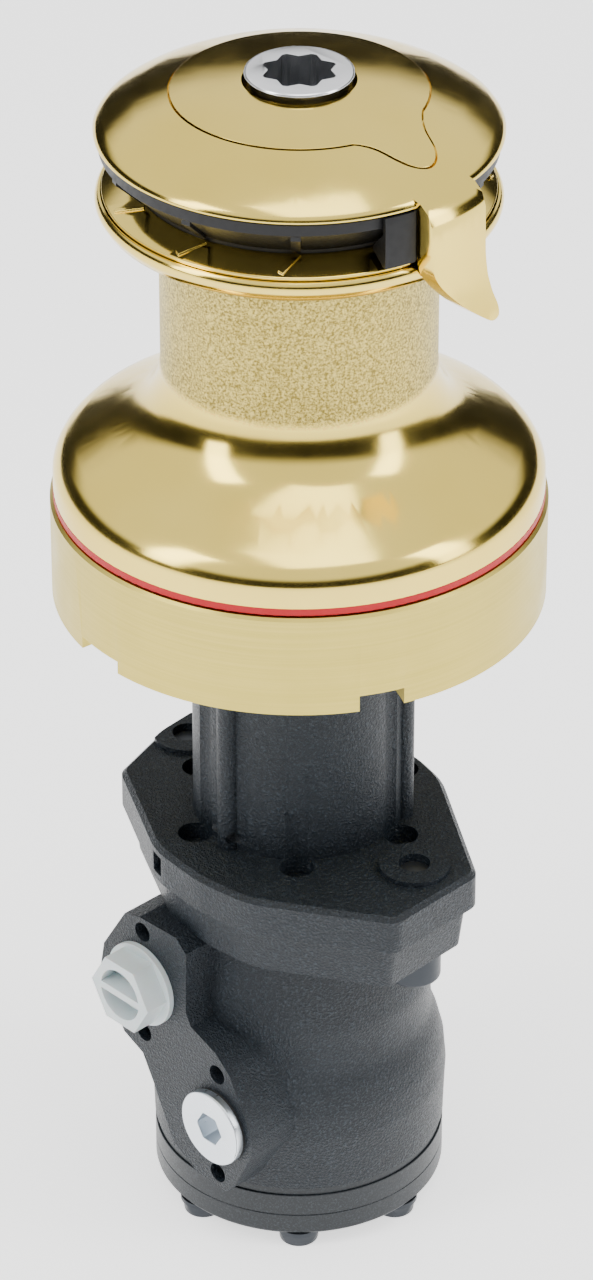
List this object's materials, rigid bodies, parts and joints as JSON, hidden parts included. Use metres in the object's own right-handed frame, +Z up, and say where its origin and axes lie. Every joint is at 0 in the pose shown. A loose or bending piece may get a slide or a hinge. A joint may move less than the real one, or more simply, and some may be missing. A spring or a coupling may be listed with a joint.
{
  "type": "sailboat winch",
  "caption": "Hydraulic self-tailing sailing winch: rope drum with spring jaws and feeder arm on a geared base, driven by an oil motor hung below deck through a cast adapter.",
  "frame": {"origin": "on the drum axis in the deck plane, under the bronze base", "axes": "+Z up along the drum axis, +X along the two motor bolts, the oil ports look along -Y"},
  "size_m": [0.157, 0.157, 0.4116],
  "materials": {
    "polished_bronze": "polished",
    "satin_bronze": "satin",
    "chrome": "polished",
    "black_plastic": "satin",
    "red_plastic": "gloss",
    "white_plastic": "gloss",
    "cast_iron": "painted sand casting",
    "gear_steel": "machined",
    "zinc_steel": "zinc plated",
    "seal_rubber": "matte",
    "nylon": "matte"
  },
  "bodies": {
    "frame": {"adapter_housing": "cast_iron", "adapter_screws": "gear_steel", "arm_cover": "polished_bronze", "arm_nut": "gear_steel", "base_housing": "satin_bronze", "bearing_spacer": "nylon", "carrier_screws": "gear_steel", "cover_bolts": "gear_steel", "cover_screws": "gear_steel", "cover_washers": "gear_steel", "drum_stem": "gear_steel", "dust_seal": "seal_rubber", "end_cover": "cast_iron", "flange_screws": "gear_steel", "gear_carrier": "satin_bronze", "gear_pins": "gear_steel", "motor_housing": "cast_iron", "port_plug_plastic": "white_plastic", "port_plug_steel": "zinc_steel", "self_tailing_arm": "polished_bronze", "shaft_lower_bush": "nylon", "shaft_seal": "seal_rubber", "shaft_upper_bush": "nylon", "spacer_plate": "cast_iron", "stator_ring": "cast_iron", "stator_rollers": "gear_steel", "steel_plug_seal": "seal_rubber", "stem_screws": "gear_steel", "thrust_bearing": "gear_steel", "thrust_washer": "nylon", "stripper": "black_plastic"},
    "drum": {"drum": "polished_bronze", "skirt_ring": "red_plastic", "ring_gear": "gear_steel", "ring_gear_screws": "gear_steel", "upper_jaw": "black_plastic", "jaw_screws": "gear_steel", "jaw_springs": "gear_steel"},
    "jaw": {"lower_jaw": "polished_bronze"},
    "bearings": {"bearing_cages": "nylon", "bearing_rollers": "gear_steel"},
    "main_shaft": {"main_shaft": "gear_steel", "handle_socket": "chrome", "socket_screw": "gear_steel", "first_gear_washer": "gear_steel", "shaft_coupling": "gear_steel", "coupling_screws": "gear_steel", "shaft_keys": "gear_steel", "output_shaft": "gear_steel"},
    "first_gear": {"first_speed_gear": "gear_steel"},
    "first_pawl_a": {"first_pawl_a": "gear_steel"},
    "first_pawl_b": {"first_pawl_b": "gear_steel"},
    "idler": {"idler_gear": "gear_steel"},
    "idler_pinion": {"idler_pinion": "gear_steel"},
    "second_gear": {"second_speed_gear": "gear_steel"},
    "second_pinion": {"second_speed_pinion": "gear_steel"},
    "second_pawl_a": {"second_pawl_a": "gear_steel"},
    "second_pawl_b": {"second_pawl_b": "gear_steel"},
    "drive_link": {"drive_link": "gear_steel"},
    "rotor": {"rotor": "gear_steel"}
  },
  "joints": [
    {"name": "drum_spin", "type": "hinge", "parent": "frame", "child": "drum", "pos_m": [0, 0, 0.09], "axis": [0, 0, 1], "continuous": true},
    {"name": "jaw_slide", "type": "slide", "parent": "drum", "child": "jaw", "axis": [0, 0, -1], "range_m": [0, 0.002], "stiffness_N_per_m": 16000, "deforming": ["jaw_springs"]},
    {"name": "shaft_spin", "type": "hinge", "parent": "frame", "child": "main_shaft", "pos_m": [0, 0, 0], "axis": [0, 0, 1], "continuous": true},
    {"name": "first_gear_spin", "type": "hinge", "parent": "frame", "child": "first_gear", "pos_m": [0, 0, 0.036], "axis": [0, 0, 1], "continuous": true},
    {"name": "idler_spin", "type": "hinge", "parent": "frame", "child": "idler", "pos_m": [0.03007, 0.01094, 0.036], "axis": [0, 0, 1], "continuous": true},
    {"name": "idler_pinion_spin", "type": "hinge", "parent": "frame", "child": "idler_pinion", "pos_m": [0.02757, 0.03682, 0.036], "axis": [0, 0, 1], "continuous": true},
    {"name": "second_pinion_spin", "type": "hinge", "parent": "frame", "child": "second_pinion", "pos_m": [-0.03212, -0.02384, 0.03], "axis": [0, 0, 1], "continuous": true},
    {"name": "second_gear_spin", "type": "hinge", "parent": "frame", "child": "second_gear", "pos_m": [-0.03212, -0.02384, 0.03], "axis": [0, 0, 1], "continuous": true},
    {"name": "bearing_spin", "type": "hinge", "parent": "frame", "child": "bearings", "pos_m": [0, 0, 0.09], "axis": [0, 0, 1], "continuous": true},
    {"name": "drive_link_spin", "type": "hinge", "parent": "frame", "child": "drive_link", "pos_m": [0, 0, -0.18], "axis": [0, 0, 1], "continuous": true},
    {"name": "rotor_spin", "type": "hinge", "parent": "drive_link", "child": "rotor", "pos_m": [-0.00275, 0.00091, -0.213], "axis": [0, 0, 1], "continuous": true},
    {"name": "first_pawl_a_fold", "type": "hinge", "parent": "main_shaft", "child": "first_pawl_a", "pos_m": [0.0102, 0, 0.0375], "axis": [0, 0, 1], "range_deg": [0, 18], "stiffness_Nm_per_rad": 0.02},
    {"name": "second_pawl_a_fold", "type": "hinge", "parent": "second_pinion", "child": "second_pawl_a", "pos_m": [-0.02192, -0.02384, 0.0135], "axis": [0, 0, 1], "range_deg": [-18, 0]},
    {"name": "first_pawl_b_fold", "type": "hinge", "parent": "main_shaft", "child": "first_pawl_b", "pos_m": [-0.0102, 0, 0.0375], "axis": [0, 0, 1], "range_deg": [0, 18], "stiffness_Nm_per_rad": 0.02},
    {"name": "second_pawl_b_fold", "type": "hinge", "parent": "second_pinion", "child": "second_pawl_b", "pos_m": [-0.04232, -0.02384, 0.0135], "axis": [0, 0, 1], "range_deg": [-18, 0]}
  ],
  "couplings": [
    {"joint": "shaft_spin", "follows": "drum_spin", "ratio": 3},
    {"joint": "first_gear_spin", "follows": "drum_spin", "ratio": 3},
    {"joint": "idler_spin", "follows": "drum_spin", "ratio": -5},
    {"joint": "idler_pinion_spin", "follows": "drum_spin", "ratio": 4.2857},
    {"joint": "second_pinion_spin", "follows": "drum_spin", "ratio": 3},
    {"joint": "second_gear_spin", "follows": "drum_spin", "ratio": -1.2857},
    {"joint": "bearing_spin", "follows": "drum_spin", "ratio": 0.54545},
    {"joint": "drive_link_spin", "follows": "drum_spin", "ratio": -18},
    {"joint": "rotor_spin", "follows": "drum_spin", "ratio": 21}
  ]
}
